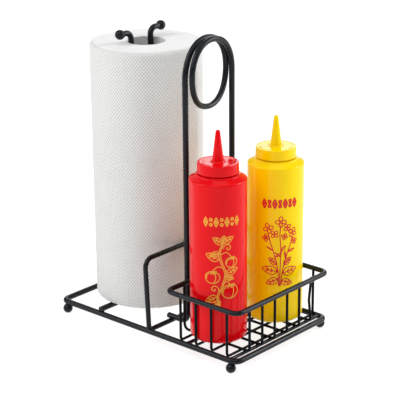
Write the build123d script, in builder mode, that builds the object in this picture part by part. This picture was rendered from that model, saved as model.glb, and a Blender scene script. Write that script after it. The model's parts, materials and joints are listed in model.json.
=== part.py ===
from build123d import *
from math import cos, pi, sin, tan
import os

# Wire caddy that dispenses sheets from an upright paper roll and carries two squeeze bottles.
# X runs along the base from the roll end (-X) to the basket end (+X), Y runs across it from
# the front rail (-Y) to the back rail (+Y), and Z is up. The origin is the centre of the base,
# on the table. All sizes are in millimetres.

# ---- wire and ball stock ----
RAIL_D = 6.1            # heavy wire: base frame, roll bar, posts and handle
RIM_D = 5.4             # basket rim
BAR_D = 5.2             # guard hoop and handle bar
FLOOR_BAR_D = 3.8       # the two bars under the basket
WIRE_D = 2.8            # fine basket wire
BALL_D = 10.4           # feet and post tips
WELD = 0.6              # how far two welded wires sink into each other
PRESS = 1.3             # the same where one heavy wire crosses another
WIRE_SET = 0.7          # how far the fine wires are pressed into the rim
BUTT = 0.8              # how far a butt-welded end reaches into the wire it stands on
GAP = 0.3               # air between pieces that move against each other

# ---- base frame ----
BASE_L = 248.4          # length along the wire's centreline
BASE_W = 146.6
BASE_CORNER_R = 8.0
FOOT_FLAT = 0.15        # depth of the small flat that each ball stands on
FOOT_X = 117.0
RAIL_Z = BALL_D - FOOT_FLAT + RAIL_D / 2 - WELD
RAIL_Y = BASE_W / 2

# ---- cross bars ----
ROLL_BAR_X = -66.0
ROLL_BAR_Z = RAIL_Z + RAIL_D - PRESS
HANDLE_BAR_X = 3.4
BUTT_BAR_HALF_L = RAIL_Y - RAIL_D / 2 + BUTT    # bars that end inside the base frame
FLOOR_BAR_XS = {"basket_bar_inner": 57.5, "basket_bar_outer": 115.6}
FLOOR_BAR_Z = RAIL_Z + 0.8

# ---- roll holder posts ----
POST_Y = 14.7
POST_TOP_X = -68.2      # the posts lean a little away from the handle
POST_TOP_Z = 309.6      # height of the bent ends
POST_BEND_R = 7.5
POST_BALL_Y = 30.8
POST_SOCKET = 3.4       # depth of the hole in each tip ball

# ---- paper roll ----
ROLL_X = -60.8
ROLL_R = 59.2
ROLL_H = 278.6
ROLL_TOP_EDGE_R = 4.0
ROLL_FOOT_EDGE_R = 2.0
CORE_R = 21.0           # outside of the cardboard tube
CORE_WALL = 1.1
ROLL_Z = ROLL_BAR_Z + RAIL_D / 2 + GAP

# ---- guard hoop between the roll and the basket ----
HOOP_FOOT_X = 5.3
HOOP_TOP_X = 1.5        # the hoop leans a little towards the roll
HOOP_TOP_Z = 91.6
HOOP_BEND_R = 10.0

# ---- basket ----
RIM_X0 = 31.2
RIM_X1 = 125.4
RIM_Y = 73.7
RIM_Z = 65.0
RIM_CORNER_R = 8.0
CROSS_WIRES = 4         # U wires that run front to back
CROSS_PITCH = 20.7
CROSS_BEND_R = 4.0
LONG_WIRES = 6          # U wires that run left to right, on top of the cross wires
LONG_PITCH = 20.1
LONG_BEND_LEFT_R = 5.5
LONG_BEND_RIGHT_R = 4.0
WIRE_TOP_Z = RIM_Z + 0.6
LONG_Z = FLOOR_BAR_Z + (FLOOR_BAR_D + WIRE_D) / 2 - WELD / 2
CROSS_Z = LONG_Z - WIRE_D + WELD / 2
KINK_DEPTH = 2.6        # the hindmost long wire is bent inwards on its right side
KINK_Z = 39.4
KINK_BEND_R = 10.0

# ---- carrying handle ----
HANDLE_X = RIM_X0 - (RIM_D + RAIL_D) / 2 + WELD
LEG_Y = 35.9
HANDLE_FOOT_Z = RAIL_Z + (BAR_D + RAIL_D) / 2 - PRESS
HANDLE_FOOT_X = -1.2    # where each foot ends
HANDLE_BEND_R = 9.0
LEG_TOP_Z = 276.5       # where the legs begin to curve
LOOP_TOP_Z = 314.9      # where the front leg passes over the top
RING_TOP_Z = 314.1      # where the small ring passes over the top
LOOP_Y = 32.9           # half width of the small ring
LOOP_MID_Z = 280.0
LOOP_LOW_Z = 244.2
LOOP_STEPS = 5          # corners in each quarter turn
BEND_SHARE = 0.45       # part of the shorter run beside a corner that its bend may take up
# How far the wire stands off the handle's plane at each quarter turn, so that it clears itself.
LOOP_OFFSETS = (0.0, -2.8, -5.6, 0.0, 6.9, 4.7, 0.0)

# ---- squeeze bottles: heights are counted from the bottle's own base ----
BOTTLES = {"ketchup": (71.8, -39.3), "mustard": (82.6, 38.9)}
BOTTLE_Z = LONG_Z + WIRE_D / 2 + GAP
BOTTLE_R = 29.3
BOTTLE_WALL = 1.3
BASE_EDGE_R = 4.5
PUNT_R = 24.0           # the base is dished inside this radius
PUNT_H = 1.6
SHOULDER_H = 168.4
SHOULDER_EDGE_R = 3.0
COLLAR_R = 22.3
COLLAR_H = 174.0
NECK_R = 18.4
NECK_WALL = 1.8
NECK_TOP_H = 183.0

# ---- bottle caps and their sealing rings ----
CAP_TOP_H = 185.7
CAP_TOP_R = 20.7
CAP_SKIRT_R = 21.2
CAP_SKIRT_H = 10.6
CAP_BORE_R = 19.5
CAP_EDGE_R = 0.6
SEAL_T = 0.9
SEAL_R = 18.2
SEAL_HOLE_R = 14.6
SEAL_AIR = 0.1          # air above and below the sealing ring
SPOUT_R = 5.9
SPOUT_TIP_R = 2.2
SPOUT_TOP_H = 218.0
SPOUT_WALL = 1.1
SPOUT_RING_R = 7.2
SPOUT_RING_H = 0.9


def save(builder, label):
    """Name a finished piece and write its STEP file."""
    builder.part.label = label
    export_step(builder.part, f"parts/{label}.step")


def bent_rod(points, radii, diameter, closed=False):
    """Round wire along straight runs, with a bend of the given radius at each inner point."""
    with BuildLine() as route:
        FilletPolyline(*points, radius=radii, close=closed)
    start = Plane(origin=route.line @ 0, z_dir=route.line % 0)
    with BuildSketch(start) as section:
        Circle(diameter / 2)
    sweep(sections=section.sketch, path=route.line)


def straight_bar(x, z, half_length, diameter):
    """Round bar along Y."""
    with BuildSketch(Plane.XZ.offset(half_length)) as section:
        with Locations((x, z)):
            Circle(diameter / 2)
    extrude(section.sketch, amount=-2 * half_length)


def flat_ring(x0, x1, y, z, corner_r, diameter):
    """Closed rectangle of wire with round corners."""
    corners = [(x0, -y, z), (x1, -y, z), (x1, y, z), (x0, y, z)]
    bent_rod(corners, corner_r, diameter, closed=True)


def loop_route():
    """Corners of the one-and-a-half-turn loop, from the front leg over to the back leg."""
    sides = (
        (-LEG_Y, LEG_TOP_Z),
        (0.0, LOOP_TOP_Z),
        (LOOP_Y, LOOP_MID_Z),
        (0.0, LOOP_LOW_Z),
        (-LOOP_Y, LOOP_MID_Z),
        (0.0, RING_TOP_Z),
        (LEG_Y, LEG_TOP_Z),
    )
    half_step = pi / 4 / LOOP_STEPS
    stretch = 1 / cos(half_step)    # corners stand outside the curve that their arcs touch
    points = []
    for quarter in range(len(sides) - 1):
        y_a, z_a = sides[quarter]
        y_b, z_b = sides[quarter + 1]
        x_a, x_b = LOOP_OFFSETS[quarter], LOOP_OFFSETS[quarter + 1]
        for step in range(LOOP_STEPS):
            share = (step + 0.5) / LOOP_STEPS
            angle = share * pi / 2
            if quarter % 2 == 0:    # from a side to the top or the bottom
                y = y_b + (y_a - y_b) * cos(angle) * stretch
                z = z_a + (z_b - z_a) * sin(angle) * stretch
            else:                   # from the top or the bottom to a side
                y = y_a + (y_b - y_a) * sin(angle) * stretch
                z = z_b + (z_a - z_b) * cos(angle) * stretch
            ease = (1 - cos(pi * share)) / 2
            points.append((HANDLE_X + x_a + (x_b - x_a) * ease, y, z))
    return points


def bend_radii(points):
    """Largest bend that fits each inner corner of a route."""
    radii = []
    for before, corner, after in zip(points, points[1:], points[2:]):
        run_in = Vector(corner) - Vector(before)
        run_out = Vector(after) - Vector(corner)
        half_turn = run_in.get_angle(run_out) * pi / 360
        radii.append(BEND_SHARE * min(run_in.length, run_out.length) / tan(half_turn))
    return radii


os.makedirs("parts", exist_ok=True)

# ======== base ========

with BuildPart() as base_frame:
    flat_ring(-BASE_L / 2, BASE_L / 2, RAIL_Y, RAIL_Z, BASE_CORNER_R, RAIL_D)
save(base_frame, "base_frame")

for side, foot_y in (("front", -RAIL_Y), ("back", RAIL_Y)):
    for end, foot_x in (("left", -FOOT_X), ("right", FOOT_X)):
        with BuildPart() as foot:
            with Locations((foot_x, foot_y, BALL_D / 2 - FOOT_FLAT)):
                Sphere(BALL_D / 2)
            split(bisect_by=Plane.XY, keep=Keep.TOP)
        save(foot, f"foot_{side}_{end}")

with BuildPart() as roll_bar:
    straight_bar(ROLL_BAR_X, ROLL_BAR_Z, RAIL_Y, RAIL_D)
save(roll_bar, "roll_bar")

with BuildPart() as handle_bar:
    straight_bar(HANDLE_BAR_X, RAIL_Z, BUTT_BAR_HALF_L, BAR_D)
save(handle_bar, "handle_bar")

for name, bar_x in FLOOR_BAR_XS.items():
    with BuildPart() as floor_bar:
        straight_bar(bar_x, FLOOR_BAR_Z, BUTT_BAR_HALF_L, FLOOR_BAR_D)
    save(floor_bar, name)

# ======== roll holder ========

for side, sign in (("front", -1), ("back", 1)):
    post_foot_z = ROLL_BAR_Z + RAIL_D / 2 - BUTT
    socket_y = POST_BALL_Y - BALL_D / 2 + POST_SOCKET
    with BuildPart() as post:
        bent_rod(
            [
                (ROLL_BAR_X, sign * POST_Y, post_foot_z),
                (POST_TOP_X, sign * POST_Y, POST_TOP_Z),
                (POST_TOP_X, sign * socket_y, POST_TOP_Z),
            ],
            POST_BEND_R,
            RAIL_D,
        )
    save(post, f"post_{side}")

    with BuildPart() as tip:
        with Locations((POST_TOP_X, sign * POST_BALL_Y, POST_TOP_Z)):
            Sphere(BALL_D / 2)
        with BuildSketch(Plane.XZ.offset(-sign * socket_y)):
            with Locations((POST_TOP_X, POST_TOP_Z)):
                Circle(RAIL_D / 2)
        extrude(amount=sign * BALL_D, mode=Mode.SUBTRACT)
    save(tip, f"post_tip_{side}")

with BuildPart() as cardboard_core:
    with BuildSketch(Plane.XY.offset(ROLL_Z)):
        with Locations((ROLL_X, 0)):
            Circle(CORE_R)
            Circle(CORE_R - CORE_WALL, mode=Mode.SUBTRACT)
    extrude(amount=ROLL_H)
save(cardboard_core, "cardboard_core")

with BuildPart() as paper_roll:
    with BuildSketch(Plane.XY.offset(ROLL_Z)):
        with Locations((ROLL_X, 0)):
            Circle(ROLL_R)
            Circle(CORE_R, mode=Mode.SUBTRACT)
    extrude(amount=ROLL_H)
    outer_edges = paper_roll.edges().filter_by(GeomType.CIRCLE).sort_by(SortBy.RADIUS)[-2:]
    foot_edge, top_edge = outer_edges.sort_by(Axis.Z)
    fillet(foot_edge, ROLL_FOOT_EDGE_R)
    fillet(top_edge, ROLL_TOP_EDGE_R)
save(paper_roll, "paper_roll")

# ======== guard hoop ========

with BuildPart() as roll_guard_hoop:
    hoop_foot_z = RAIL_Z + RAIL_D / 2 - BUTT
    bent_rod(
        [
            (HOOP_FOOT_X, -RAIL_Y, hoop_foot_z),
            (HOOP_TOP_X, -RAIL_Y, HOOP_TOP_Z),
            (HOOP_TOP_X, RAIL_Y, HOOP_TOP_Z),
            (HOOP_FOOT_X, RAIL_Y, hoop_foot_z),
        ],
        HOOP_BEND_R,
        BAR_D,
    )
save(roll_guard_hoop, "roll_guard_hoop")

# ======== basket ========

with BuildPart() as basket_rim:
    flat_ring(RIM_X0, RIM_X1, RIM_Y, RIM_Z, RIM_CORNER_R, RIM_D)
save(basket_rim, "basket_rim")

rim_to_wire = (RIM_D + WIRE_D) / 2 - WIRE_SET
wire_y = RIM_Y - rim_to_wire
left_x = RIM_X0 + rim_to_wire
right_x = RIM_X1 - rim_to_wire
basket_x = (RIM_X0 + RIM_X1) / 2

for index in range(CROSS_WIRES):
    wire_x = basket_x + (index - (CROSS_WIRES - 1) / 2) * CROSS_PITCH
    with BuildPart() as cross_wire:
        bent_rod(
            [
                (wire_x, -wire_y, WIRE_TOP_Z),
                (wire_x, -wire_y, CROSS_Z),
                (wire_x, wire_y, CROSS_Z),
                (wire_x, wire_y, WIRE_TOP_Z),
            ],
            CROSS_BEND_R,
            WIRE_D,
        )
    save(cross_wire, f"basket_cross_wire_{index + 1}")

for index in range(LONG_WIRES):
    long_y = (index - (LONG_WIRES - 1) / 2) * LONG_PITCH
    corners = [(left_x, long_y, WIRE_TOP_Z), (left_x, long_y, LONG_Z), (right_x, long_y, LONG_Z)]
    radii = [LONG_BEND_LEFT_R, LONG_BEND_RIGHT_R]
    if index == LONG_WIRES - 1:
        corners.append((right_x - KINK_DEPTH, long_y, KINK_Z))
        radii.append(KINK_BEND_R)
    corners.append((right_x, long_y, WIRE_TOP_Z))
    with BuildPart() as long_wire:
        bent_rod(corners, radii, WIRE_D)
    save(long_wire, f"basket_long_wire_{index + 1}")

# ======== carrying handle ========

with BuildPart() as carrying_handle:
    handle_route = [(HANDLE_FOOT_X, -LEG_Y, HANDLE_FOOT_Z), (HANDLE_X, -LEG_Y, HANDLE_FOOT_Z)]
    handle_route += [(HANDLE_X, -LEG_Y, LEG_TOP_Z - LOOP_Y)] + loop_route()
    handle_route += [(HANDLE_X, LEG_Y, LEG_TOP_Z - LOOP_Y)]
    handle_route += [(HANDLE_X, LEG_Y, HANDLE_FOOT_Z), (HANDLE_FOOT_X, LEG_Y, HANDLE_FOOT_Z)]
    handle_radii = bend_radii(handle_route)
    handle_radii[0] = HANDLE_BEND_R
    handle_radii[-1] = HANDLE_BEND_R
    bent_rod(handle_route, handle_radii, RAIL_D)
save(carrying_handle, "carrying_handle")

# ======== squeeze bottles, caps and sealing rings ========

for sauce, (bottle_x, bottle_y) in BOTTLES.items():
    axis = Axis((bottle_x, bottle_y, 0), (0, 0, 1))
    section = Plane(origin=(bottle_x, bottle_y, BOTTLE_Z), x_dir=(1, 0, 0), z_dir=(0, -1, 0))

    inner_r = BOTTLE_R - BOTTLE_WALL
    inner_base = PUNT_H + BOTTLE_WALL
    inner_neck_r = NECK_R - NECK_WALL
    inner_edge = BASE_EDGE_R - BOTTLE_WALL
    with BuildPart() as bottle:
        with BuildSketch(section):
            with BuildLine():
                Polyline(
                    (0, PUNT_H),
                    (PUNT_R - PUNT_H, PUNT_H),
                    (PUNT_R, 0),
                    (BOTTLE_R, 0),
                    (BOTTLE_R, SHOULDER_H),
                    (COLLAR_R, COLLAR_H),
                    (NECK_R, COLLAR_H),
                    (NECK_R, NECK_TOP_H),
                    (0, NECK_TOP_H),
                    close=True,
                )
            make_face()
        revolve(axis=axis)
        rims = bottle.edges().filter_by(GeomType.CIRCLE)
        widest = rims.group_by(SortBy.RADIUS)[-1].sort_by(Axis.Z)
        fillet(widest[0], BASE_EDGE_R)
        rims = bottle.edges().filter_by(GeomType.CIRCLE)
        widest = rims.group_by(SortBy.RADIUS)[-1].sort_by(Axis.Z)
        fillet(widest[-1], SHOULDER_EDGE_R)
        with BuildSketch(section):
            with BuildLine():
                Polyline(
                    (0, inner_base),
                    (inner_r - inner_edge, inner_base),
                    (inner_r, inner_base + inner_edge),
                    (inner_r, SHOULDER_H - BOTTLE_WALL),
                    (inner_neck_r, COLLAR_H - BOTTLE_WALL),
                    (inner_neck_r, NECK_TOP_H),
                    (0, NECK_TOP_H),
                    close=True,
                )
            make_face()
        revolve(axis=axis, mode=Mode.SUBTRACT)
    save(bottle, f"{sauce}_bottle")

    seal_z = NECK_TOP_H + SEAL_AIR
    with BuildPart() as seal:
        with BuildSketch(Plane.XY.offset(BOTTLE_Z + seal_z)):
            with Locations((bottle_x, bottle_y)):
                Circle(SEAL_R)
                Circle(SEAL_HOLE_R, mode=Mode.SUBTRACT)
        extrude(amount=SEAL_T)
    save(seal, f"{sauce}_cap_seal")

    skirt_z = CAP_TOP_H - CAP_SKIRT_H
    ceiling_z = seal_z + SEAL_T + SEAL_AIR
    ring_z = CAP_TOP_H + SPOUT_RING_H
    tip_z = SPOUT_TOP_H - SPOUT_TIP_R
    bore_tip_z = tip_z - 2 * SPOUT_TIP_R
    with BuildPart() as cap:
        with BuildSketch(section):
            with BuildLine():
                cap_outline = Polyline(
                    (0, ceiling_z),
                    (CAP_BORE_R, ceiling_z),
                    (CAP_BORE_R, skirt_z),
                    (CAP_SKIRT_R, skirt_z),
                    (CAP_TOP_R, CAP_TOP_H),
                    (SPOUT_RING_R, CAP_TOP_H),
                    (SPOUT_R, ring_z),
                    (SPOUT_TIP_R, tip_z),
                )
                tip_arc = JernArc(cap_outline @ 1, (0, 1), SPOUT_TIP_R, 90)
                Line(tip_arc @ 1, (0, ceiling_z))
            make_face()
        revolve(axis=axis)
        flat_rims = cap.edges().filter_by(GeomType.CIRCLE).group_by(SortBy.RADIUS)
        top_rim = flat_rims[-2].sort_by(Axis.Z)[-1]
        fillet(top_rim, CAP_EDGE_R)
        with BuildSketch(section):
            Polygon(
                (0, ceiling_z - SEAL_AIR),
                (SPOUT_R - SPOUT_WALL, ceiling_z - SEAL_AIR),
                (SPOUT_R - SPOUT_WALL, ring_z),
                (SPOUT_TIP_R - SPOUT_WALL, bore_tip_z),
                (0, bore_tip_z),
                align=None,
            )
        revolve(axis=axis, mode=Mode.SUBTRACT)
    save(cap, f"{sauce}_cap")
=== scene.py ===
"""Looks of a wire caddy: an upright paper roll, a carrying handle and a basket with two bottles.

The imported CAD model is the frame. Everything is in metres and stands where the CAD says.
"""
import json
import math

import bmesh
import bpy
from mathutils import Matrix, Vector, noise

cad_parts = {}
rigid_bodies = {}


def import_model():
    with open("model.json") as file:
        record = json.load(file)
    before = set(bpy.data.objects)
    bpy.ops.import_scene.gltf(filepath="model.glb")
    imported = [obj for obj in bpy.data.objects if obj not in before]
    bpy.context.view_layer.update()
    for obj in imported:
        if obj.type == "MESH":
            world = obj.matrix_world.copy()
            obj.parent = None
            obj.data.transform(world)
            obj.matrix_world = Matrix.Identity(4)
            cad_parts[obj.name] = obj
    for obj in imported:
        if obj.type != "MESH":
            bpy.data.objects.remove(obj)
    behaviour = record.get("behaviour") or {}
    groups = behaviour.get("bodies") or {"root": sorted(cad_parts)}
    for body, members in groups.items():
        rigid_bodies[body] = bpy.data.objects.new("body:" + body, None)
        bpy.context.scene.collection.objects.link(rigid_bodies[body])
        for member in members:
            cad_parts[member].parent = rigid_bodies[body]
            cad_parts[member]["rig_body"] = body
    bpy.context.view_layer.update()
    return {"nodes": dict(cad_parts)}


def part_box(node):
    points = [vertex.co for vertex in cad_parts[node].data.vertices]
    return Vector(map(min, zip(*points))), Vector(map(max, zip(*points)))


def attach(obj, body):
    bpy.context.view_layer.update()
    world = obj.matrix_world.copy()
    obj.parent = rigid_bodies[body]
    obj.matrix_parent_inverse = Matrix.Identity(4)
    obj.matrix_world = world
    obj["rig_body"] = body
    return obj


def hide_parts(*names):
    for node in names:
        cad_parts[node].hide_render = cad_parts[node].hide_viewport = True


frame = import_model()

MM = 0.001
TURN = 2 * math.pi

# ---- wires ----
RAIL_R = 3.05 * MM

# ---- paper ----
SHEET_WAVE = 0.25 * MM      # how far the outer sheet lies off a true cylinder
KNOCK_DEPTH = 1.4 * MM      # dents along the roll's edges
FRAY_DEPTH = 0.35 * MM      # fine ragged fibres there
EMBOSS_COLUMNS = 110        # dimples round the roll
EMBOSS_PITCH = 4.1 * MM     # dimple spacing up the roll
RISING_SHARE = 0.62         # how much the rows that rise to the right outweigh the others
SHEET_T = 0.12 * MM
CORE_WALL = 1.1 * MM
CORE_SEAM_PITCH = 75 * MM   # the cardboard strip climbs this much a turn

# ---- bottles: heights are counted from the bottle's own base, as on the CAD bottle ----
BODY_R = 29.3 * MM
BODY_WALL = 1.3 * MM
SHOULDER_H = 168.4 * MM
COLLAR_R = 22.3 * MM
COLLAR_H = 174.0 * MM
NECK_R = 18.4 * MM
NECK_WALL = 1.8 * MM
NECK_TOP_H = 183.0 * MM
THREAD_PITCH = 4.0 * MM
THREAD_DEPTH = 0.7 * MM
THREAD_START_H = 176.4 * MM
CAP_R = 21.2 * MM
CAP_TOP_R = 20.7 * MM
CAP_BORE_R = 19.5 * MM
CAP_SKIRT_H = 10.6 * MM
CAP_TOP_H = 185.7 * MM
SPOUT_R = 5.9 * MM
SPOUT_TIP_R = 2.2 * MM
SPOUT_TOP_H = 218.0 * MM
INK = 0.1 * MM              # how far the printing stands proud
PRINT_FOOT_H = 2.8 * MM     # the drawings count their heights from here


# ======== meshes ========

def build(name, verts, faces, uvs, material, sharp=40):
    """Mesh object from plain lists; uvs holds one (u, v) for each face corner."""
    mesh = bpy.data.meshes.new(name)
    mesh.from_pydata(verts, [], faces)
    if uvs:
        layer = mesh.uv_layers.new(name="UVMap")
        for corner, uv in zip(layer.data, uvs):
            corner.uv = uv
    mesh.shade_smooth()
    mesh.set_sharp_from_angle(angle=math.radians(sharp))
    mesh.materials.append(material)
    piece = bpy.data.objects.new(name, mesh)
    bpy.context.scene.collection.objects.link(piece)
    return piece


def rounded(corners, steps=6):
    """Outline through (x, y, radius) corners, with an arc at each corner that has a radius."""
    outline = []
    last = len(corners) - 1
    for index, (x, y, radius) in enumerate(corners):
        here = Vector((x, y))
        if radius == 0 or index in (0, last):
            outline.append((x, y))
            continue
        before = (Vector(corners[index - 1][:2]) - here).normalized()
        after = (Vector(corners[index + 1][:2]) - here).normalized()
        half = before.angle(after) / 2
        reach = radius / math.tan(half)
        middle = here + (before + after).normalized() * (radius / math.sin(half))
        start = here + before * reach - middle
        sweep = start.angle_signed(here + after * reach - middle)
        for step in range(steps + 1):
            spoke = start.copy()
            spoke.rotate(Matrix.Rotation(-sweep * step / steps, 2))
            outline.append(tuple(middle + spoke))
    return outline


def lathe(name, outline, centre, material, segments=96, shape=None, sharp=40):
    """Turn an (r, z) outline about a vertical axis; shape(angle, r, z) may move each point.
    The UV map holds turns along u and metres along the outline up v."""
    cx, cy, cz = centre
    verts, rings, lengths = [], [], []
    run = 0.0
    for index, (r, z) in enumerate(outline):
        if index:
            run += math.dist(outline[index - 1], (r, z))
        lengths.append(run)
        if r < 1e-7:
            rings.append([len(verts)] * segments)
            verts.append((cx, cy, cz + z))
            continue
        ring = []
        for segment in range(segments):
            angle = TURN * segment / segments
            rr, zz = shape(angle, r, z) if shape else (r, z)
            ring.append(len(verts))
            verts.append((cx + rr * math.cos(angle), cy + rr * math.sin(angle), cz + zz))
        rings.append(ring)
    faces, uvs = [], []
    for index in range(len(outline) - 1):
        low, high = rings[index], rings[index + 1]
        for segment in range(segments):
            after = (segment + 1) % segments
            u0, u1 = segment / segments, (segment + 1) / segments
            corners = [
                (low[segment], u0, lengths[index]),
                (low[after], u1, lengths[index]),
                (high[after], u1, lengths[index + 1]),
                (high[segment], u0, lengths[index + 1]),
            ]
            face, face_uvs = [], []
            for vertex, u, v in corners:
                if vertex not in face:
                    face.append(vertex)
                    face_uvs.append((u, v))
            faces.append(face)
            uvs += face_uvs
    return build(name, verts, faces, uvs, material, sharp)


def between(first, second, share):
    """Point on the line from the first to the second."""
    return (first[0] + (second[0] - first[0]) * share, first[1] + (second[1] - first[1]) * share)


def join(name, parts):
    """Join objects into one piece."""
    bpy.ops.object.select_all(action="DESELECT")
    for part in parts:
        part.select_set(True)
    bpy.context.view_layer.objects.active = parts[0]
    bpy.ops.object.join()
    parts[0].name = name
    parts[0].data.name = name
    return parts[0]


# ======== materials ========

def shader(name, **sockets):
    """Principled material with constants on its sockets; returns material, tree and shader."""
    material = bpy.data.materials.new(name)
    material.use_nodes = True
    tree = material.node_tree
    surface = tree.nodes["Principled BSDF"]
    for socket, value in sockets.items():
        surface.inputs[socket.replace("_", " ")].default_value = value
    return material, tree, surface


def node(tree, kind, inputs=None, **settings):
    """Add a node, set it up and link or set its inputs."""
    made = tree.nodes.new(kind)
    for key, value in settings.items():
        setattr(made, key, value)
    for socket, value in (inputs or {}).items():
        if isinstance(value, bpy.types.NodeSocket):
            tree.links.new(value, made.inputs[socket])
        else:
            made.inputs[socket].default_value = value
    return made


def maths(tree, operation, a, b=0.0):
    return node(tree, "ShaderNodeMath", {0: a, 1: b}, operation=operation).outputs[0]


def fade(tree, value, low, high, to_low=0.0, to_high=1.0):
    """Smooth step from to_low to to_high as value goes from low to high."""
    inputs = {"Value": value, "From Min": low, "From Max": high, "To Min": to_low, "To Max": to_high}
    return node(tree, "ShaderNodeMapRange", inputs, interpolation_type="SMOOTHSTEP").outputs[0]


def grain(tree, scale, detail=3.0, where=None, stretch=None):
    """Noise, 0 to 1, at a scale in features a metre."""
    place = where or node(tree, "ShaderNodeTexCoord").outputs["Object"]
    if stretch:
        place = node(tree, "ShaderNodeMapping", {"Vector": place, "Scale": stretch}).outputs[0]
    inputs = {"Vector": place, "Scale": scale, "Detail": detail}
    return node(tree, "ShaderNodeTexNoise", inputs).outputs["Fac"]


def blend_colour(tree, share, first, second):
    """Colour that goes from first to second as share goes from 0 to 1."""
    mix = node(tree, "ShaderNodeMix", data_type="RGBA")
    tree.links.new(share, mix.inputs["Factor"])
    for socket, colour in ((mix.inputs[6], first), (mix.inputs[7], second)):
        if isinstance(colour, bpy.types.NodeSocket):
            tree.links.new(colour, socket)
        else:
            socket.default_value = (*colour, 1.0)
    return mix.outputs[2]


def bump(tree, surface, height, distance, strength=1.0, under=None):
    made = node(tree, "ShaderNodeBump", {"Height": height, "Distance": distance, "Strength": strength})
    if under:
        tree.links.new(under, made.inputs["Normal"])
    if surface:
        tree.links.new(made.outputs[0], surface.inputs["Normal"])
    return made.outputs[0]


def powder_coat(name, specular):
    """Black powder coat: fine orange peel, uneven sheen, and dusty specks."""
    material, tree, surface = shader(
        name, Specular_IOR_Level=specular, Specular_Tint=(0.86, 0.92, 1.0, 1.0))
    peel = grain(tree, 1100, 2.0)
    patches = grain(tree, 70, 4.0)
    specks = fade(tree, grain(tree, 2600, 1.0), 0.68, 0.76)
    worn = blend_colour(tree, patches, (0.0050, 0.0056, 0.0072), (0.0080, 0.0088, 0.0110))
    colour = blend_colour(tree, maths(tree, "MULTIPLY", specks, 0.2), worn, (0.05, 0.05, 0.055))
    tree.links.new(colour, surface.inputs["Base Color"])
    tree.links.new(fade(tree, patches, 0.3, 0.7, 0.22, 0.34), surface.inputs["Roughness"])
    bump(tree, surface, peel, 0.06 * MM, 0.25)
    return material


def paper_side():
    """White tissue with small embossed dimples on a diagonal lattice, darkened with painted shade; the
    rising rows are stronger.
    """
    material, tree, surface = shader("embossed_paper", Roughness=0.95, Specular_IOR_Level=0.15)
    uv = node(tree, "ShaderNodeUVMap", uv_map="UVMap").outputs[0]
    split = node(tree, "ShaderNodeSeparateXYZ", {"Vector": uv})
    wobble = maths(tree, "MULTIPLY", maths(tree, "SUBTRACT", grain(tree, 40, 2.0), 0.5), 0.9)
    around = maths(tree, "ADD", maths(tree, "MULTIPLY", split.outputs["X"], TURN * EMBOSS_COLUMNS), wobble)
    upwards = maths(tree, "MULTIPLY", split.outputs["Y"], TURN / EMBOSS_PITCH)
    rising = maths(tree, "COSINE", maths(tree, "SUBTRACT", around, upwards))
    falling = maths(tree, "COSINE", maths(tree, "ADD", around, upwards))
    stronger = maths(tree, "MULTIPLY", rising, RISING_SHARE)
    weaker = maths(tree, "MULTIPLY", falling, 1 - RISING_SHARE)
    lattice = maths(tree, "ADD", stronger, weaker)
    dimple_and_painted_shade = fade(tree, lattice, 0.05, 0.8)
    fibres = grain(tree, 700, 4.0)
    clouds = grain(tree, 25, 3.0)
    sheet = blend_colour(tree, clouds, (0.79, 0.797, 0.782), (0.85, 0.857, 0.842))
    # painted shade: the dimple mask darkens the paper's colour towards grey, as if the dimples lay in
    # shade; the same mask also gives the dimples' bump
    colour = blend_colour(tree, maths(tree, "MULTIPLY", dimple_and_painted_shade, 0.9), sheet, (0.55, 0.555, 0.545))
    tree.links.new(colour, surface.inputs["Base Color"])
    soft = bump(tree, None, fibres, 0.15 * MM, 0.35)
    bump(tree, surface, maths(tree, "SUBTRACT", 1.0, dimple_and_painted_shade), 0.45 * MM, 1.0, under=soft)
    return material


def paper_end():
    """The wound edges of the sheets: fine rings with soft bands and a little fluff."""
    material, tree, surface = shader("wound_paper_edges", Roughness=0.95, Specular_IOR_Level=0.1)
    place = node(tree, "ShaderNodeTexCoord").outputs["Object"]
    rings = node(tree, "ShaderNodeTexWave", {
        "Vector": place, "Scale": 260.0, "Distortion": 1.2, "Detail": 2.0, "Detail Scale": 0.4,
    }, wave_type="RINGS", rings_direction="Z").outputs["Fac"]
    bands = grain(tree, 40, 4.0)
    base = blend_colour(tree, bands, (0.80, 0.80, 0.80), (0.88, 0.88, 0.88))
    colour = blend_colour(tree, maths(tree, "MULTIPLY", rings, 0.25), base, (0.70, 0.70, 0.69))
    tree.links.new(colour, surface.inputs["Base Color"])
    fluff = bump(tree, None, grain(tree, 900, 3.0), 0.2 * MM, 0.4)
    bump(tree, surface, rings, 0.15 * MM, 0.4, under=fluff)
    return material


def cardboard():
    """Light grey cardboard, wound in a spiral, with flecks of fibre."""
    material, tree, surface = shader("spiral_cardboard", Roughness=0.85, Specular_IOR_Level=0.2)
    uv = node(tree, "ShaderNodeUVMap", uv_map="UVMap").outputs[0]
    split = node(tree, "ShaderNodeSeparateXYZ", {"Vector": uv})
    climbed = maths(tree, "MULTIPLY", split.outputs["Y"], 1 / CORE_SEAM_PITCH)
    winding = maths(tree, "ADD", split.outputs["X"], climbed)
    seam = fade(tree, maths(tree, "PINGPONG", winding, 0.5), 0.0, 0.02, 1.0, 0.0)
    flecks = grain(tree, 500, 5.0, stretch=(1.0, 1.0, 0.3))
    base = blend_colour(tree, flecks, (0.60, 0.60, 0.615), (0.73, 0.73, 0.745))
    colour = blend_colour(tree, maths(tree, "MULTIPLY", seam, 0.6), base, (0.34, 0.33, 0.32))
    tree.links.new(colour, surface.inputs["Base Color"])
    rough = bump(tree, None, flecks, 0.15 * MM, 0.4)
    bump(tree, surface, maths(tree, "SUBTRACT", 1.0, seam), 0.25 * MM, 0.8, under=rough)
    return material


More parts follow.
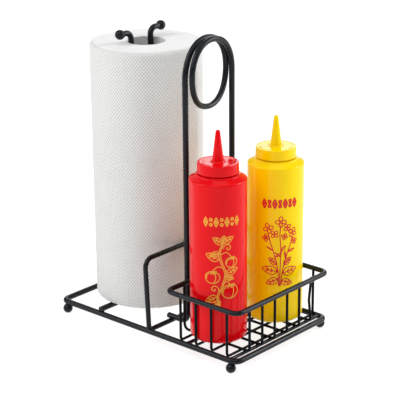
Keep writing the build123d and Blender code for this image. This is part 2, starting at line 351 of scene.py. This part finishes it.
def squeeze_plastic(name, deep, bright, scatter):
    """Glossy soft polyethylene: slightly uneven colour and gloss, with fine scuffs."""
    material, tree, surface = shader(
        name, Specular_IOR_Level=0.16, Subsurface_Weight=0.06, Subsurface_Radius=scatter,
        Subsurface_Scale=0.003)
    flow = grain(tree, 22, 3.0, stretch=(1.0, 1.0, 0.25))
    haze = grain(tree, 260, 4.0)
    scuffs = fade(tree, grain(tree, 380, 2.0, stretch=(1.0, 1.0, 6.0)), 0.70, 0.84)
    tree.links.new(blend_colour(tree, flow, deep, bright), surface.inputs["Base Color"])
    gloss = fade(tree, haze, 0.3, 0.7, 0.10, 0.14)
    roughness = maths(tree, "ADD", gloss, maths(tree, "MULTIPLY", scuffs, 0.08))
    tree.links.new(roughness, surface.inputs["Roughness"])
    bump(tree, surface, haze, 0.02 * MM, 0.15)
    return material


def ink(name, thin, thick):
    """Screen-printing ink: slightly uneven cover, with pinholes."""
    material, tree, surface = shader(name, Roughness=0.35, Specular_IOR_Level=0.2)
    cover = grain(tree, 900, 3.0)
    colour = blend_colour(tree, fade(tree, cover, 0.35, 0.6), thin, thick)
    tree.links.new(colour, surface.inputs["Base Color"])
    bump(tree, surface, cover, 0.04 * MM, 0.3)
    return material


def soft_liner():
    """Pale foamed sealing ring."""
    material, tree, surface = shader(
        "foam_liner", Roughness=0.6, Subsurface_Weight=0.3, Subsurface_Scale=0.002)
    cells = node(tree, "ShaderNodeTexVoronoi", {
        "Vector": node(tree, "ShaderNodeTexCoord").outputs["Object"], "Scale": 2200.0}).outputs["Distance"]
    colour = blend_colour(tree, fade(tree, cells, 0.0, 0.6), (0.70, 0.70, 0.66), (0.80, 0.80, 0.77))
    tree.links.new(colour, surface.inputs["Base Color"])
    bump(tree, surface, cells, 0.08 * MM, 0.4)
    return material


BLACK = powder_coat("black_powder_coat", 0.25)
THIN_BLACK = powder_coat("thin_black_powder_coat", 0.06)
PAPER = paper_side()
PAPER_END = paper_end()
CARDBOARD = cardboard()
LINER = soft_liner()
RED = squeeze_plastic("red_polyethylene", (0.76, 0.001, 0.004), (0.84, 0.002, 0.007), (1.0, 0.05, 0.05))
YELLOW = squeeze_plastic("yellow_polyethylene", (1.0, 0.66, 0.0), (1.0, 0.71, 0.0), (1.0, 0.7, 0.05))
GOLD_INK = ink("gold_ink", (0.86, 0.32, 0.03), (0.90, 0.42, 0.05))
RED_INK = ink("red_ink", (0.76, 0.004, 0.022), (0.68, 0.002, 0.017))


# ======== wire frame: the CAD wires in powder coat, with weld beads where they meet ========

def centre_of(name):
    low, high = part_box(name)
    return (low + high) / 2


def coat_wires():
    """The fine basket wires have a duller coat than the heavy ones."""
    for name, part in frame["nodes"].items():
        if part["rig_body"] == "wire_frame":
            part.data.materials.clear()
            part.data.materials.append(THIN_BLACK if "_wire_" in name else BLACK)


def beads(name, welds, seed):
    """One piece of small lumpy weld beads, each given by its centre and its radii."""
    lumps_per_metre, roughness = 900, 0.14
    mesh = bmesh.new()
    for centre, radii in welds:
        place = Matrix.Translation(centre) @ Matrix.Diagonal((*radii, 1.0))
        made = bmesh.ops.create_icosphere(mesh, subdivisions=3, radius=1.0, matrix=place)
        for vertex in made["verts"]:
            out = vertex.co - Vector(centre)
            lump = noise.noise(vertex.co * lumps_per_metre + Vector((seed, 0, 0)))
            vertex.co = Vector(centre) + out * (1 + roughness * lump)
    data = bpy.data.meshes.new(name)
    mesh.to_mesh(data)
    mesh.free()
    data.shade_smooth()
    data.materials.append(BLACK)
    piece = bpy.data.objects.new(name, data)
    bpy.context.scene.collection.objects.link(piece)
    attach(piece, "wire_frame")
    return piece


def weld_frame():
    """Beads at the feet, the bars' ends, the hoop, the posts and the handle."""
    butt_welds = {"basket_bar_inner": (2.3, 2.2), "basket_bar_outer": (2.3, 2.2), "handle_bar": (3.1, 2.9)}
    rail = centre_of("base_frame")
    rail_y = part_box("base_frame")[1].y - RAIL_R
    rail_top = rail.z + RAIL_R
    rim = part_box("basket_rim")
    welds = []
    for side in ("front", "back"):
        sign = 1 if side == "back" else -1
        inside_y = sign * (rail_y - RAIL_R)
        for end in ("left", "right"):
            ball = centre_of(f"foot_{side}_{end}")
            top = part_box(f"foot_{side}_{end}")[1].z
            welds.append(((ball.x, ball.y, top), (2.5 * MM, 2.3 * MM, 1.0 * MM)))
        for bar, (wide, tall) in butt_welds.items():
            middle = centre_of(bar)
            welds.append(((middle.x, inside_y, middle.z), (wide * MM, 1.1 * MM, tall * MM)))
        roll_bar = centre_of("roll_bar")
        saddle = (roll_bar.x, inside_y + sign * 1.0 * MM, rail_top - 0.4 * MM)
        welds.append((saddle, (3.2 * MM, 2.4 * MM, 1.1 * MM)))
        hoop_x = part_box("roll_guard_hoop")[1].x - 2.6 * MM
        welds.append(((hoop_x, sign * rail_y, rail_top), (3.3 * MM, 2.7 * MM, 1.2 * MM)))
        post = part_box(f"post_{side}")
        post_y = (post[0].y if side == "back" else post[1].y) + sign * RAIL_R
        welds.append(((roll_bar.x, post_y, post[0].z + 0.8 * MM), (3.4 * MM, 3.4 * MM, 1.1 * MM)))
        leg_y = sign * (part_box("carrying_handle")[1].y - RAIL_R)
        foot_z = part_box("carrying_handle")[0].z
        handle_bar = centre_of("handle_bar")
        welds.append(((handle_bar.x, leg_y, foot_z + 0.7 * MM), (2.4 * MM, 2.8 * MM, 1.0 * MM)))
        welds.append(((rim[0].x, leg_y, (rim[0].z + rim[1].z) / 2), (1.0 * MM, 2.4 * MM, 2.5 * MM)))
    beads("weld_beads_frame", welds, 3)


def weld_basket():
    """Beads where the fine wires meet the rim, the bars and each other."""
    cross = [f"basket_cross_wire_{index}" for index in range(1, 5)]
    along = [f"basket_long_wire_{index}" for index in range(1, 7)]
    bars = [centre_of("basket_bar_inner").x, centre_of("basket_bar_outer").x]
    tops, crossings = [], []
    for name in cross:
        low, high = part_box(name)
        for y in (low.y + 0.5 * MM, high.y - 0.5 * MM):
            tops.append((((low.x + high.x) / 2, y, high.z - 0.6 * MM), (1.8 * MM, 1.6 * MM, 1.0 * MM)))
    for name in along:
        low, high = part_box(name)
        y = (low.y + high.y) / 2
        under = low.z + 0.05 * MM
        for x in (low.x + 0.5 * MM, high.x - 0.5 * MM):
            tops.append(((x, y, high.z - 0.6 * MM), (1.6 * MM, 1.8 * MM, 1.0 * MM)))
        for x in bars + [centre_of(other).x for other in cross]:
            crossings.append(((x, y, under), (1.45 * MM, 1.45 * MM, 0.65 * MM)))
    beads("weld_beads_rim", tops, 11)
    beads("weld_beads_floor", crossings, 29)


# ======== paper roll ========

def roll_sheets():
    """The wound paper: an embossed side with rounded edges, two wound ends and the bore."""
    low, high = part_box("paper_roll")
    cx, cy = (low.x + high.x) / 2, (low.y + high.y) / 2
    radius = (high.x - low.x) / 2
    tall = high.z - low.z
    bore = (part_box("cardboard_core")[1].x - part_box("cardboard_core")[0].x) / 2
    top_edge, foot_edge = 4.0 * MM, 2.0 * MM

    def crumple(angle, r, z):
        """The outer sheet is never quite round, and its edges are knocked and frayed here and there."""
        spot = Vector((math.cos(angle) * 2.2, math.sin(angle) * 2.2, z * 14))
        near_end = max(0.0, 1 - min(z, tall - z) / (9 * MM))
        knocks = max(0.0, noise.noise(spot * 4.5 + Vector((7, 1, 3)))) * near_end ** 2
        fibre = Vector((math.cos(angle) * 30, math.sin(angle) * 30, z * 220))
        frays = max(0.0, noise.noise(fibre)) * near_end
        share = max(0.0, (r - bore) / (radius - bore))
        dent = SHEET_WAVE * (0.5 + 0.5 * noise.noise(spot)) + KNOCK_DEPTH * knocks + FRAY_DEPTH * frays
        return r - dent * share, z

    def edge_arc(edge, start):
        """Rounded edge of the side, as (distance in from the side, distance in from the end)."""
        angles = [math.pi / 2 * (start + step / 8) for step in range(9)]
        return [(edge - edge * math.cos(angle), edge - edge * abs(math.sin(angle))) for angle in angles]

    side = [(radius - inwards, height) for inwards, height in edge_arc(foot_edge, -1)]
    side += [(radius, foot_edge + (tall - top_edge - foot_edge) * step / 90) for step in range(1, 90)]
    side += [(radius - inwards, tall - height) for inwards, height in edge_arc(top_edge, 0)]
    side_piece = lathe("towel_roll_side", side, (cx, cy, low.z), PAPER, 220, crumple)

    def wound(seed, edge):
        """Edges of the wound sheets: each few layers stand at their own height."""
        def height(angle, r, z):
            spot = Vector((r / MM * 0.9, math.cos(angle) * 0.35, math.sin(angle) * 0.35 + seed))
            slow = Vector((math.cos(angle) * r * 30, math.sin(angle) * r * 30, seed))
            drop = 0.12 * MM * (1 + noise.noise(spot)) + 0.2 * MM * (1 + noise.noise(slow))
            ease = min(1.0, max(0.0, radius - edge - r) / (2 * MM))
            r, _ = crumple(angle, r, z)
            return r, z - drop * ease if z > tall / 2 else z + drop * ease
        return height

    ends = []
    end_faces = (("towel_roll_top", top_edge, False, 5), ("towel_roll_bottom", foot_edge, True, 8))
    for name, edge, flip, seed in end_faces:
        rings = 84
        across = bore - radius + edge
        outline = [(radius - edge + across * step / rings, tall) for step in range(rings + 1)]
        if flip:
            outline = [(r, 0.0) for r, z in reversed(outline)]
        ends.append(lathe(name, outline, (cx, cy, low.z), PAPER_END, 220, wound(seed, edge)))
    bore_wall = [(bore, tall), (bore, 0.0)]
    inner = lathe("towel_roll_bore", bore_wall, (cx, cy, low.z), PAPER_END, 220, wound(5, top_edge))
    roll = join("towel_roll", [side_piece] + ends + [inner])
    weld = roll.modifiers.new("close_seams", "WELD")
    weld.merge_threshold = 0.02 * MM
    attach(roll, "towel_roll")
    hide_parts("paper_roll")


def sheet_tail():
    """Loose end of the outer sheet: a thin flap with a torn, perforated edge."""
    low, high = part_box("paper_roll")
    cx, cy = (low.x + high.x) / 2, (low.y + high.y) / 2
    radius = (high.x - low.x) / 2 - 0.15 * MM
    tall = high.z - low.z
    start, width, rows, columns = math.radians(118), 16 * MM, 140, 14
    verts, faces, uvs = [], [], []
    for layer in (0, 1):
        for row in range(rows + 1):
            z = 2.2 * MM + (tall - 4.4 * MM) * row / rows
            torn = 0.5 * MM * abs((row % 4) - 2) / 2
            for column in range(columns + 1):
                share = column / columns
                angle = start + (width - torn * share) * share / radius
                lift = 0.45 * MM * share ** 3 * (0.7 + 0.6 * noise.noise(Vector((z * 30, 2, 4))))
                r = radius + lift + layer * SHEET_T
                verts.append((cx + r * math.cos(angle), cy + r * math.sin(angle), low.z + z))
    stride = columns + 1
    top = (rows + 1) * stride

    def add(corners):
        faces.append(corners)
        for corner in corners:
            flat = corner % top
            uvs.append(((start + width / radius * (flat % stride) / columns) / TURN,
                        tall * (flat // stride) / rows))

    for row in range(rows):
        for column in range(columns):
            a = row * stride + column
            add([a, a + stride, a + stride + 1, a + 1])
            add([top + a, top + a + 1, top + a + stride + 1, top + a + stride])
    rim = [column for column in range(stride)]
    rim += [row * stride + columns for row in range(1, rows + 1)]
    rim += [rows * stride + column for column in range(columns - 1, -1, -1)]
    rim += [row * stride for row in range(rows - 1, 0, -1)]
    for a, b in zip(rim, rim[1:] + rim[:1]):
        add([a, b, top + b, top + a])
    tail = build("towel_roll_tail", verts, faces, uvs, PAPER)
    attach(tail, "towel_roll")


def core_tube():
    """Cardboard tube with slightly ragged ends."""
    low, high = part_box("cardboard_core")
    radius = (high.x - low.x) / 2
    tall = high.z - low.z
    inside, outside = radius - CORE_WALL, radius - 0.02 * MM
    lip = 0.3 * MM
    outline = rounded([
        (inside, tall / 2, 0), (inside, 0, lip), (outside, 0, lip),
        (outside, tall, lip), (inside, tall, lip), (inside, tall / 2, 0)])

    def frayed(angle, r, z):
        ragged = 0.15 * MM * (1 + noise.noise(Vector((math.cos(angle) * 6, math.sin(angle) * 6, z))))
        return r, min(max(z, ragged), tall - ragged)

    centre = ((low.x + high.x) / 2, (low.y + high.y) / 2, low.z)
    tube = lathe("core_tube", outline, centre, CARDBOARD, 120, frayed)
    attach(tube, "towel_roll")
    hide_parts("cardboard_core")


# ======== squeeze bottles ========

def helix_ridge(name, centre, material, base_r, tip_r, start_h, turns):
    """Screw thread: a ridge that climbs one pitch a turn and fades out at both ends."""
    cx, cy, cz = centre
    steps = int(turns * 64)
    foot, crest = 0.85 * MM, 0.35 * MM
    verts, faces = [], []
    for step in range(steps + 1):
        share = step / steps
        angle = TURN * turns * share
        grown = min(1.0, 12 * share, 12 * (1 - share))
        tip = base_r + (tip_r - base_r) * max(grown, 0.02)
        z = cz + start_h + THREAD_PITCH * turns * share
        for r, lift in ((base_r, -foot), (tip, -crest), (tip, crest), (base_r, foot)):
            verts.append((cx + r * math.cos(angle), cy + r * math.sin(angle), z + lift))
    for step in range(steps):
        a, b = step * 4, step * 4 + 4
        for corner in range(4):
            after = (corner + 1) % 4
            quad = [a + corner, b + corner, b + after, a + after]
            faces.append(quad if tip_r > base_r else quad[::-1])
    faces.append([0, 1, 2, 3] if tip_r > base_r else [3, 2, 1, 0])
    last = steps * 4
    end = [last, last + 1, last + 2, last + 3]
    faces.append(end[::-1] if tip_r > base_r else end)
    return build(name, verts, faces, None, material, 60)


def bottle_body(sauce, centre, material):
    """Hollow bottle with a dished base, a sloping shoulder, a collar and a threaded neck."""
    punt_r, punt_h = 24.0 * MM, 1.6 * MM
    inner_r = BODY_R - BODY_WALL
    inner_neck = NECK_R - NECK_WALL
    outline = rounded([
        (0, punt_h, 0), (punt_r - 2 * MM, punt_h, 1.5 * MM), (punt_r, 0, 1.0 * MM),
        (BODY_R, 0, 4.5 * MM), (BODY_R, SHOULDER_H + 0.6 * MM, 1.8 * MM),
        (COLLAR_R, COLLAR_H - 1.6 * MM, 1.2 * MM), (COLLAR_R, COLLAR_H, 0.6 * MM),
        (NECK_R, COLLAR_H, 0.6 * MM), (NECK_R, NECK_TOP_H, 0.5 * MM),
        (inner_neck, NECK_TOP_H, 0.5 * MM), (inner_neck, COLLAR_H - BODY_WALL, 2.0 * MM),
        (inner_r, SHOULDER_H - BODY_WALL, 3.0 * MM),
        (inner_r, punt_h + BODY_WALL, 3.2 * MM), (0, punt_h + BODY_WALL, 0)])
    tall_runs = []
    for first, second in zip(outline, outline[1:]):
        tall_runs.append(first)
        pieces = int(math.dist(first, second) / (8 * MM))
        for step in range(1, pieces + 1):
            share = step / (pieces + 1)
            tall_runs.append(between(first, second, share))
    tall_runs.append(outline[-1])
    seams = (math.radians(75), math.radians(255))

    def moulded(angle, r, z):
        """Blown walls are slightly uneven, and the mould's halves leave a fine line."""
        if r < COLLAR_R + 0.5 * MM:
            return r, z
        spot = Vector((math.cos(angle) * 1.4, math.sin(angle) * 1.4, z * 16 + centre[0] * 90))
        line = sum(math.exp(-((angle - seam) * BODY_R / (0.5 * MM)) ** 2) for seam in seams)
        return r - 0.12 * MM * (0.5 + 0.5 * noise.noise(spot)) + 0.09 * MM * line, z

    body = lathe(f"{sauce}_bottle_shell", tall_runs, centre, material, 144, moulded, 50)
    thread = helix_ridge(f"{sauce}_neck_thread", centre, material, NECK_R - 0.2 * MM,
                         NECK_R + THREAD_DEPTH, THREAD_START_H, 1.2)
    shell = join(f"{sauce}_bottle_shell", [body, thread])
    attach(shell, f"{sauce}_bottle")
    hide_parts(f"{sauce}_bottle")
    return shell


def bottle_cap(sauce, centre, material):
    """Screw cap with a slightly dished top and a hollow pointed spout, closed at its tip."""
    skirt = CAP_TOP_H - CAP_SKIRT_H
    ceiling = CAP_TOP_H - 1.6 * MM
    spout_wall = 1.1 * MM
    ring_r, ring_h = 7.2 * MM, 0.9 * MM
    tip = SPOUT_TOP_H
    outline = rounded([
        (0, tip - 5.5 * MM, 0), (SPOUT_TIP_R - spout_wall, tip - 5.5 * MM, 0.4 * MM),
        (SPOUT_R - spout_wall, CAP_TOP_H + ring_h, 0),
        (SPOUT_R - spout_wall, ceiling, 0.5 * MM), (CAP_BORE_R, ceiling, 0.8 * MM),
        (CAP_BORE_R, skirt, 0.4 * MM), (CAP_R, skirt, 0.5 * MM),
        (CAP_TOP_R + 0.05 * MM, CAP_TOP_H - 0.2 * MM, 0.9 * MM), (CAP_TOP_R - 2.4 * MM, CAP_TOP_H, 2 * MM),
        (CAP_TOP_R - 5.0 * MM, CAP_TOP_H - 0.25 * MM, 2 * MM),
        (ring_r + 0.6 * MM, CAP_TOP_H - 0.25 * MM, 0.4 * MM),
        (ring_r - 0.1 * MM, CAP_TOP_H + ring_h - 0.3 * MM, 0.5 * MM),
        (SPOUT_R + 0.1 * MM, CAP_TOP_H + ring_h, 0.5 * MM),
        (SPOUT_R - 0.9 * MM, CAP_TOP_H + 8 * MM, 12 * MM), (SPOUT_TIP_R, tip - 1.0 * MM, 1.6 * MM),
        (SPOUT_TIP_R * 0.35, tip, 0.8 * MM), (0, tip, 0)])
    shell = lathe(f"{sauce}_cap_shell", outline, centre, material, 96, None, 50)
    thread = helix_ridge(f"{sauce}_cap_thread", centre, material, CAP_BORE_R + 0.2 * MM,
                         CAP_BORE_R - THREAD_DEPTH, THREAD_START_H + THREAD_PITCH / 2, 1.0)
    cap = join(f"{sauce}_cap_shell", [shell, thread])
    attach(cap, f"{sauce}_cap")
    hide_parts(f"{sauce}_cap")
    return cap


# ======== printed ornaments: lines drawn flat in millimetres, then wrapped round a bottle ========

def curve_through(points, steps=8):
    """Smooth line through the points (Catmull-Rom)."""
    padded = [points[0]] + list(points) + [points[-1]]
    line = []
    for a, b, c, d in zip(padded, padded[1:], padded[2:], padded[3:]):
        for step in range(steps):
            t = step / steps
            line.append(tuple(
                0.5 * (2 * q + (r - p) * t + (2 * p - 5 * q + 4 * r - s) * t * t
                       + (3 * q - p - 3 * r + s) * t ** 3)
                for p, q, r, s in zip(a, b, c, d)))
    line.append(tuple(points[-1]))
    return line


def oval(cx, cy, rx, ry, start=0, end=360, tilt=0):
    """Ellipse, or an arc of one, turned by tilt; angles in degrees."""
    steps = max(8, int(abs(end - start) / 12))
    c, s = math.cos(math.radians(tilt)), math.sin(math.radians(tilt))
    line = []
    for step in range(steps + 1):
        angle = math.radians(start + (end - start) * step / steps)
        x, y = rx * math.cos(angle), ry * math.sin(angle)
        line.append((cx + x * c - y * s, cy + x * s + y * c))
    return line


def leaf(x, y, heading, length, width):
    """Pointed leaf with a midrib and two pairs of veins; heading in degrees."""
    turn = math.radians(heading)

    def place(along, across):
        return (x + along * math.cos(turn) - across * math.sin(turn),
                y + along * math.sin(turn) + across * math.cos(turn))

    half = width / 2
    upper = [place(0, 0), place(length * 0.3, half), place(length * 0.7, half * 0.75), place(length, 0)]
    lower = [place(0, 0), place(length * 0.3, -half), place(length * 0.7, -half * 0.75), place(length, 0)]
    strokes = [curve_through(upper), curve_through(lower), [place(0, 0), place(length * 0.8, 0)]]
    for share in (0.3, 0.55):
        for side in (1, -1):
            strokes.append([place(length * share, 0), place(length * (share + 0.16), side * half * 0.55)])
    return strokes


def spiral(x, y, size, heading, hand=1):
    """Small curling tendril that starts at x, y."""
    line = []
    for step in range(25):
        share = step / 24
        angle = math.radians(heading) + hand * share * 7.5
        reach = size * (1 - share) ** 0.8
        line.append((x + size * math.cos(math.radians(heading)) * 0.9 - reach * math.cos(angle),
                     y + size * math.sin(math.radians(heading)) * 0.9 - reach * math.sin(angle)))
    return line


def tomato(x, y, r):
    """Round fruit with a starry calyx, two ribs and a highlight."""
    strokes = [oval(x, y, r, r * 0.86)]
    strokes.append(oval(x, y, r * 0.45, r * 0.8, -70, 75))
    strokes.append(oval(x - r * 0.1, y, r * 0.75, r * 0.62, 120, 200))
    for heading in (200, 240, 285, 330, 15):
        turn = math.radians(heading)
        tip = (x + r * 0.62 * math.cos(turn), y + r * 0.8 + r * 0.42 * math.sin(turn))
        strokes.append([(x - 0.3, y + r * 0.8), tip])
        strokes.append([(x + 0.5, y + r * 0.84), tip])
    return strokes


def flower(x, y, r, tilt):
    """Four round petals about a small middle."""
    strokes = [oval(x, y, r * 0.2, r * 0.2)]
    for quarter in range(4):
        turn = math.radians(tilt + 90 * quarter)
        strokes.append(oval(x + r * 0.6 * math.cos(turn), y + r * 0.6 * math.sin(turn),
                            r * 0.42, r * 0.34, tilt=tilt + 90 * quarter))
    return strokes


def lozenge(x, y, width, height):
    half_w, half_h = width / 2, height / 2
    return [(x, y + half_h), (x + half_w, y), (x, y - half_h), (x - half_w, y), (x, y + half_h)]


def tomato_vine():
    """A climbing tomato plant: one vine, three fruits, leaves and tendrils."""
    stem = [(-3, 40), (-5, 50), (0, 62), (3, 74), (-1, 86), (-3, 97)]
    stem_tip = (2, 108)
    strokes = [curve_through([(x + width, h) for x, h in stem] + [stem_tip]) for width in (0, 1.6)]
    strokes += tomato(8.5, 55, 8.6)
    strokes += tomato(-9.5, 70.5, 7.4)
    strokes += tomato(10, 86, 6.2)
    strokes.append(curve_through([(0.5, 63), (5, 66), (8.5, 62.5)]))
    strokes.append(curve_through([(2.5, 80), (-4, 82), (-9.5, 77)]))
    strokes.append(curve_through([(-1, 95), (5, 97), (10, 91.5)]))
    strokes += leaf(-4, 50, 205, 14, 7)
    strokes += leaf(-3, 47, 250, 9, 5)
    strokes += leaf(4, 74, 20, 14, 7)
    strokes += leaf(3.5, 72, -25, 10, 5)
    strokes += leaf(-2, 90, 160, 15, 8)
    strokes += leaf(-2, 97, 200, 11, 5.5)
    strokes += leaf(1.5, 107, 30, 12, 6)
    strokes += leaf(1.5, 107, 85, 8, 5)
    strokes += leaf(1, 106, 145, 12, 6)
    strokes.append(spiral(-4, 56, 4.5, 150))
    strokes.append(spiral(2, 101, 4.5, 10, -1))
    strokes.append(spiral(4, 68, 3.5, 5, -1))
    return strokes


def mustard_sprig():
    """A mustard plant: three stems with four-petalled flowers, pods and leaves."""
    strokes = []
    stems = (
        [(-1, 40), (-2, 58), (-6, 76), (-11, 92), (-12, 99)],
        [(0, 40), (0.5, 60), (1, 80), (0, 96), (1, 107)],
        [(1, 40), (3, 56), (7, 72), (12, 86), (14, 94)],
    )
    for stem in stems:
        strokes.append(curve_through(stem))
    flowers = (
        (-12, 103, 5.4, 20), (-5.5, 97, 4.2, 50), (1, 110, 5.6, 0), (8, 103.5, 4.4, 35),
        (14, 97.5, 5.2, 60), (-14.5, 92.5, 3.8, 5), (16, 88, 3.6, 20), (5, 94, 3.4, 70),
    )
    for x, y, r, tilt in flowers:
        strokes += flower(x, y, r, tilt)
    pods = ((-7, 79, 150), (-4.5, 72, 35), (1, 78, 50), (0.8, 72, 140), (9, 77, 20), (6, 70, 95))
    for x, y, heading in pods:
        turn = math.radians(heading)
        end = (x + 8 * math.cos(turn), y + 8 * math.sin(turn))
        strokes.append(curve_through([(x, y), ((x + end[0]) / 2 + 0.9, (y + end[1]) / 2 - 0.7), end]))
        strokes.append(curve_through([(x, y), ((x + end[0]) / 2 - 0.5, (y + end[1]) / 2 + 0.9), end]))
    strokes += leaf(-2, 56, 170, 17, 9)
    strokes += leaf(-1.5, 48, 205, 14, 7)
    strokes += leaf(3, 54, 12, 17, 9)
    strokes += leaf(1.5, 46, -20, 13, 7)
    strokes += leaf(-3, 64, 140, 11, 5.5)
    strokes += leaf(4.5, 63, 45, 11, 5.5)
    return strokes


def band(row, heights, pointed):
    """Seven ornaments in a row: tall lozenges or leaves between pairs of dots."""
    strokes = []
    for index in range(7):
        x = (index - 3) * 5.4
        if index % 2 == 0:
            strokes.append(lozenge(x, row, 4.2, heights))
            strokes.append([(x, row - 1.4), (x, row + 1.4)] if pointed else lozenge(x, row, 1.2, 2.4))
        else:
            for lift in (-1, 1):
                strokes.append(oval(x, row + lift * heights * 0.27, 1.25, 1.25))
            if pointed:
                strokes.append([(x - 1.2, row), (x + 1.2, row)])
    return strokes


def even_steps(line, longest):
    """The same line with points no more than longest apart."""
    fine = [line[0]]
    for first, second in zip(line, line[1:]):
        pieces = max(1, math.ceil(math.dist(first, second) / longest))
        for step in range(1, pieces + 1):
            share = step / pieces
            fine.append(between(first, second, share))
    return fine


def printed(name, drawings, centre, facing, material, body):
    """Thin raised ink lines on a bottle. drawings holds (strokes, line width in mm) pairs;
    facing is the angle of the drawing's middle about the bottle, in degrees."""
    cx, cy, cz = centre
    verts, faces = [], []
    for strokes, width in drawings:
        for stroke in strokes:
            line = even_steps(stroke, 0.9)
            closed = math.dist(line[0], line[-1]) < 1e-6
            start = len(verts)
            for index, (x, h) in enumerate(line):
                before = line[index - 1] if index else (line[-2] if closed else line[0])
                after = line[index + 1] if index + 1 < len(line) else (line[1] if closed else line[-1])
                along = Vector((after[0] - before[0], after[1] - before[1])).normalized()
                across = Vector((-along.y, along.x)) * width / 2
                for side, r in ((-1, -0.1), (-1, 1.0), (1, 1.0), (1, -0.1)):
                    angle = math.radians(facing) + (x + side * across.x) * MM / BODY_R
                    reach = BODY_R + r * INK
                    verts.append((cx + reach * math.cos(angle), cy + reach * math.sin(angle),
                                  cz + PRINT_FOOT_H + (h + side * across.y) * MM))
            for index in range(len(line) - 1):
                a, b = start + index * 4, start + index * 4 + 4
                for corner in range(4):
                    after = (corner + 1) % 4
                    faces.append([a + corner, a + after, b + after, b + corner])
            if not closed:
                last = start + (len(line) - 1) * 4
                faces.append([start + 3, start + 2, start + 1, start])
                faces.append([last, last + 1, last + 2, last + 3])
    print_piece = build(name, verts, faces, None, material, 30)
    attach(print_piece, body)
    return print_piece


def bottles():
    """Both bottles; each drawing and each band comes with its line width in millimetres."""
    looks = {
        "ketchup": (RED, "red_plastic", GOLD_INK, -42.5,
                    (tomato_vine(), 0.9), (band(129.0, 9.6, False), 1.35)),
        "mustard": (YELLOW, "yellow_plastic", RED_INK, -42.0,
                    (mustard_sprig(), 1.0), (band(129.6, 9.6, True), 1.7)),
    }
    for sauce, (plastic, slot, colour, facing, drawing, row) in looks.items():
        low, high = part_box(f"{sauce}_bottle")
        centre = ((low.x + high.x) / 2, (low.y + high.y) / 2, low.z)
        bottle_body(sauce, centre, plastic)
        bottle_cap(sauce, centre, plastic)
        printed(f"{sauce}_print", [drawing, row], centre, facing, colour, f"{sauce}_bottle")
        liner = frame["nodes"][f"{sauce}_cap_seal"]
        liner.data.materials.clear()
        liner.data.materials.append(LINER)


# ======== studio ========

def studio_floor():
    material, tree, surface = shader(
        "pale_floor", Roughness=0.8, Specular_IOR_Level=0.1, Emission_Color=(1.0, 1.0, 1.0, 1.0),
        Emission_Strength=0.8)
    soft = grain(tree, 3, 2.0)
    colour = blend_colour(tree, soft, (0.38, 0.38, 0.38), (0.42, 0.42, 0.42))
    tree.links.new(colour, surface.inputs["Base Color"])
    half = 9.0
    corners = [(-half, -half, 0), (half, -half, 0), (half, half, 0), (-half, half, 0)]
    floor = build("studio_floor", corners, [(0, 1, 2, 3)], None, material)


def direction(azimuth, elevation):
    """Unit vector from the object towards that side; azimuth 0 is the front (-Y), 90 is +X."""
    a, e = math.radians(azimuth), math.radians(elevation)
    return Vector((math.sin(a) * math.cos(e), -math.cos(a) * math.cos(e), math.sin(e)))


def softbox(name, azimuth, elevation, distance, width, height, power):
    light = bpy.data.lights.new(name, "AREA")
    light.shape = "RECTANGLE"
    light.size = width
    light.size_y = height
    light.energy = power
    lamp = bpy.data.objects.new(name, light)
    target = Vector((0, 0, 0.15))
    away = direction(azimuth, elevation)
    lamp.location = target + away * distance
    lamp.rotation_euler = away.to_track_quat("Z", "Y").to_euler()
    bpy.context.scene.collection.objects.link(lamp)


def studio_light():
    world = bpy.data.worlds.new("studio")
    world.use_nodes = True
    world.node_tree.nodes["Background"].inputs["Color"].default_value = (1.0, 1.0, 1.0, 1.0)
    world.node_tree.nodes["Background"].inputs["Strength"].default_value = 0.24
    bpy.context.scene.world = world
    softbox("left_softbox", -44, 28, 1.6, 0.6, 1.2, 7.0)
    softbox("front_softbox", 26, 38, 1.9, 0.9, 0.8, 5)
    softbox("high_softbox", -33, 50, 1.8, 0.7, 0.7, 7)
    softbox("right_softbox", 138, 25, 1.5, 0.7, 1.2, 15)
    softbox("top_softbox", 60, 80, 1.7, 1.4, 1.4, 6.5)
    softbox("back_softbox", 216, 26, 2.6, 1.8, 0.9, 15)
    bpy.context.scene.view_settings.view_transform = "Standard"


def camera():
    """Long lens, level with the upper part of the roll, looking down on the basket's corner."""
    azimuth, elevation, roll = 41.602, 19.089, -0.495
    distance, shift_right, shift_up = 1.61255, 0.00837, 0.12931
    back = direction(azimuth, elevation)
    level = Vector((math.cos(math.radians(azimuth)), math.sin(math.radians(azimuth)), 0))
    rise = back.cross(level)
    c, s = math.cos(math.radians(roll)), math.sin(math.radians(roll))
    right = c * level + s * rise
    up = c * rise - s * level
    place = back * distance + right * shift_right + up * shift_up
    lens = bpy.data.cameras.new("camera")
    lens.sensor_width = 36
    lens.lens = 134.05
    eye = bpy.data.objects.new("camera", lens)
    eye.matrix_world = Matrix((
        (right.x, up.x, back.x, place.x),
        (right.y, up.y, back.y, place.y),
        (right.z, up.z, back.z, place.z),
        (0, 0, 0, 1)))
    bpy.context.scene.collection.objects.link(eye)
    bpy.context.scene.camera = eye


coat_wires()
weld_frame()
weld_basket()
roll_sheets()
sheet_tail()
core_tube()
bottles()
studio_floor()
studio_light()
camera()
